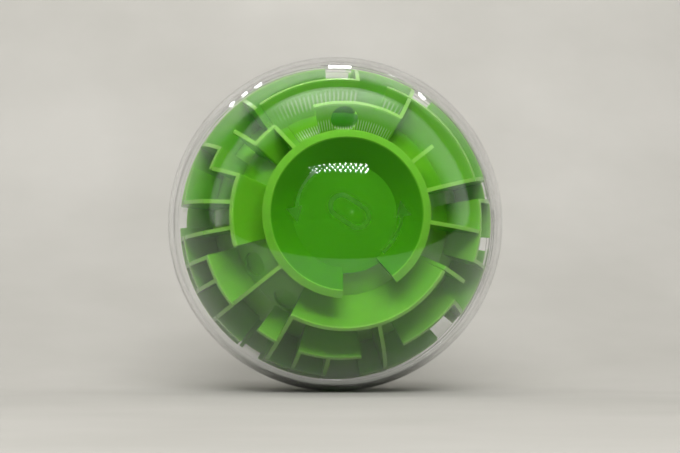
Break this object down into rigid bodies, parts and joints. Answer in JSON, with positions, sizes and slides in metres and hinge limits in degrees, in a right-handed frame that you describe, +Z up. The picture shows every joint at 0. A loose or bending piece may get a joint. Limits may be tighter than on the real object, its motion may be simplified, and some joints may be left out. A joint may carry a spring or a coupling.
{
  "type": "maze ball puzzle",
  "caption": "Clear twist-open ball with a fixed ring-and-fin maze inside that a small steel ball rolls through.",
  "frame": {"origin": "centre of the ball, which is the centre of the part's box", "axes": "the polar axis lies along Y with the arrow-marked front pole facing -Y; +Z is up and -Z points at the table"},
  "size_m": [0.1, 0.1002, 0.1],
  "materials": {
    "clear_shell": "polished clear moulding",
    "green_maze": "glossy translucent moulding",
    "ball_steel": "polished bearing ball",
    "zinc_steel": "bright zinc plate",
    "insert_brass": "turned, satin"
  },
  "bodies": {
    "maze_body": {"rear_shell": "clear_shell", "front_dish": "green_maze", "front_ring_1": "green_maze", "front_sector": "green_maze", "front_ring_2": "green_maze", "front_ring_3": "green_maze", "middle_ring": "green_maze", "rear_ring_3": "green_maze", "rear_ring_2": "green_maze", "rear_sector": "green_maze", "rear_ring_1": "green_maze", "rear_dish": "green_maze", "centre_tube": "green_maze", "thread_insert": "insert_brass", "tie_screw": "zinc_steel", "tie_washer": "zinc_steel", "pole_cap": "clear_shell", "locating_pins": "zinc_steel"},
    "front_cover": {"front_shell": "clear_shell"},
    "ball": {"steel_ball": "ball_steel"}
  },
  "joints": [
    {"name": "shell_twist", "type": "hinge", "parent": "maze_body", "child": "front_cover", "pos_m": [0, 0, 0], "axis": [0, -1, 0], "range_deg": [0, 20]},
    {"name": "ball_roll", "type": "hinge", "parent": "maze_body", "child": "ball", "pos_m": [0, 0, 0], "axis": [0, 1, 0], "range_deg": [0, 47]}
  ]
}
